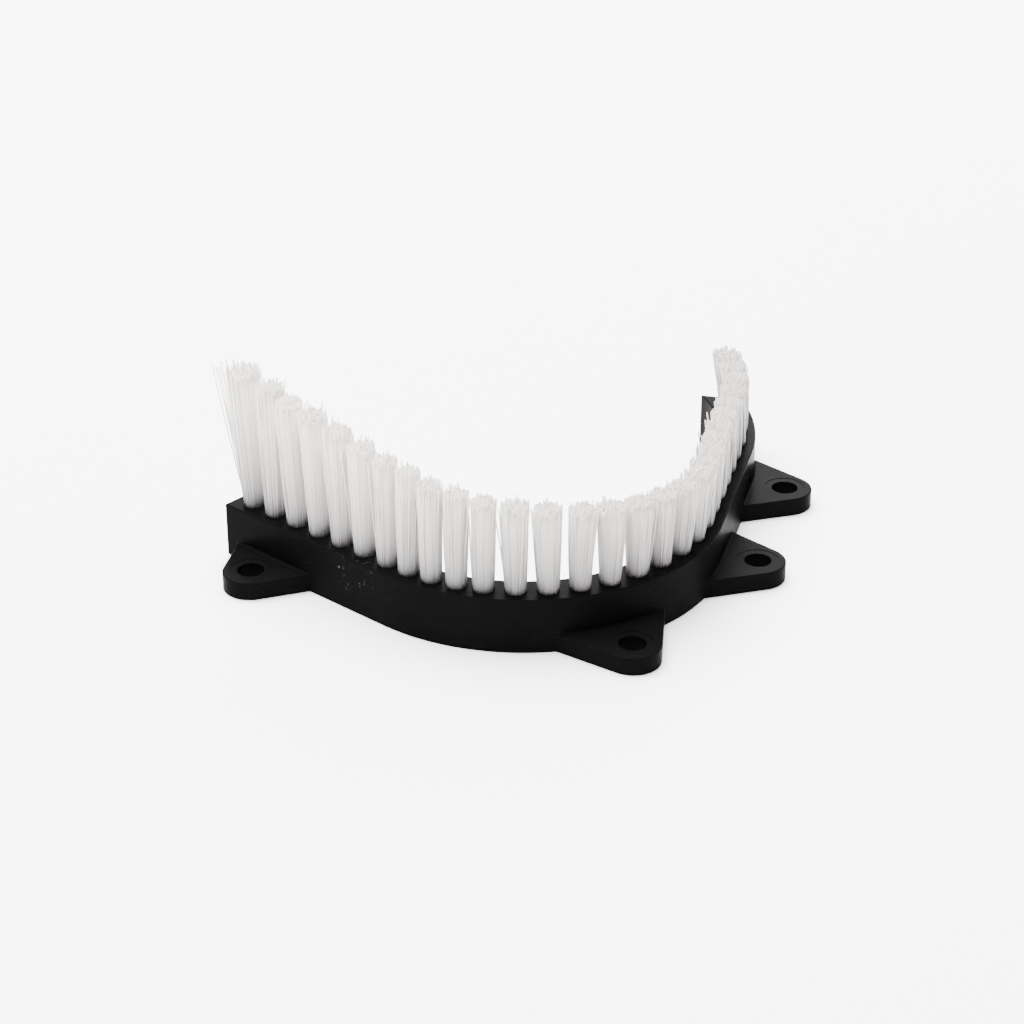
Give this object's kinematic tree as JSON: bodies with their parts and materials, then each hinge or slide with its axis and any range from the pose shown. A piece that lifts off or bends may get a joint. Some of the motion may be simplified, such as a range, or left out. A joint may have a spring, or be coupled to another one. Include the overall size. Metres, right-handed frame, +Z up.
{
  "type": "pool wall brush",
  "caption": "Curved hook-shaped brush strip for a pool cleaner: a moulded block with screw lugs and a single row of white bristle tufts, longest at one end.",
  "frame": {"origin": "centre of the bounding box, on the flat underside of the block", "axes": "+Z up, the way the bristles point; Y along the straight side arm; +X out of the side arm, the way its lugs point"},
  "size_m": [0.1334, 0.1206, 0.0494],
  "materials": {
    "block": "satin moulded",
    "bristle": "translucent nylon filament",
    "anchor": "flat stainless wire"
  },
  "bodies": {
    "root": {"brush_block": "block", "tuft_01": "bristle", "tuft_02": "bristle", "tuft_03": "bristle", "tuft_04": "bristle", "tuft_05": "bristle", "tuft_06": "bristle", "tuft_07": "bristle", "tuft_08": "bristle", "tuft_09": "bristle", "tuft_10": "bristle", "tuft_11": "bristle", "tuft_12": "bristle", "tuft_13": "bristle", "tuft_14": "bristle", "tuft_15": "bristle", "tuft_16": "bristle", "tuft_17": "bristle", "tuft_18": "bristle", "tuft_19": "bristle", "tuft_20": "bristle", "tuft_21": "bristle", "tuft_22": "bristle", "tuft_23": "bristle", "tuft_24": "bristle", "tuft_25": "bristle", "tuft_26": "bristle", "tuft_27": "bristle", "tuft_28": "bristle", "tuft_29": "bristle", "tuft_anchors": "anchor"}
  },
  "joints": []
}
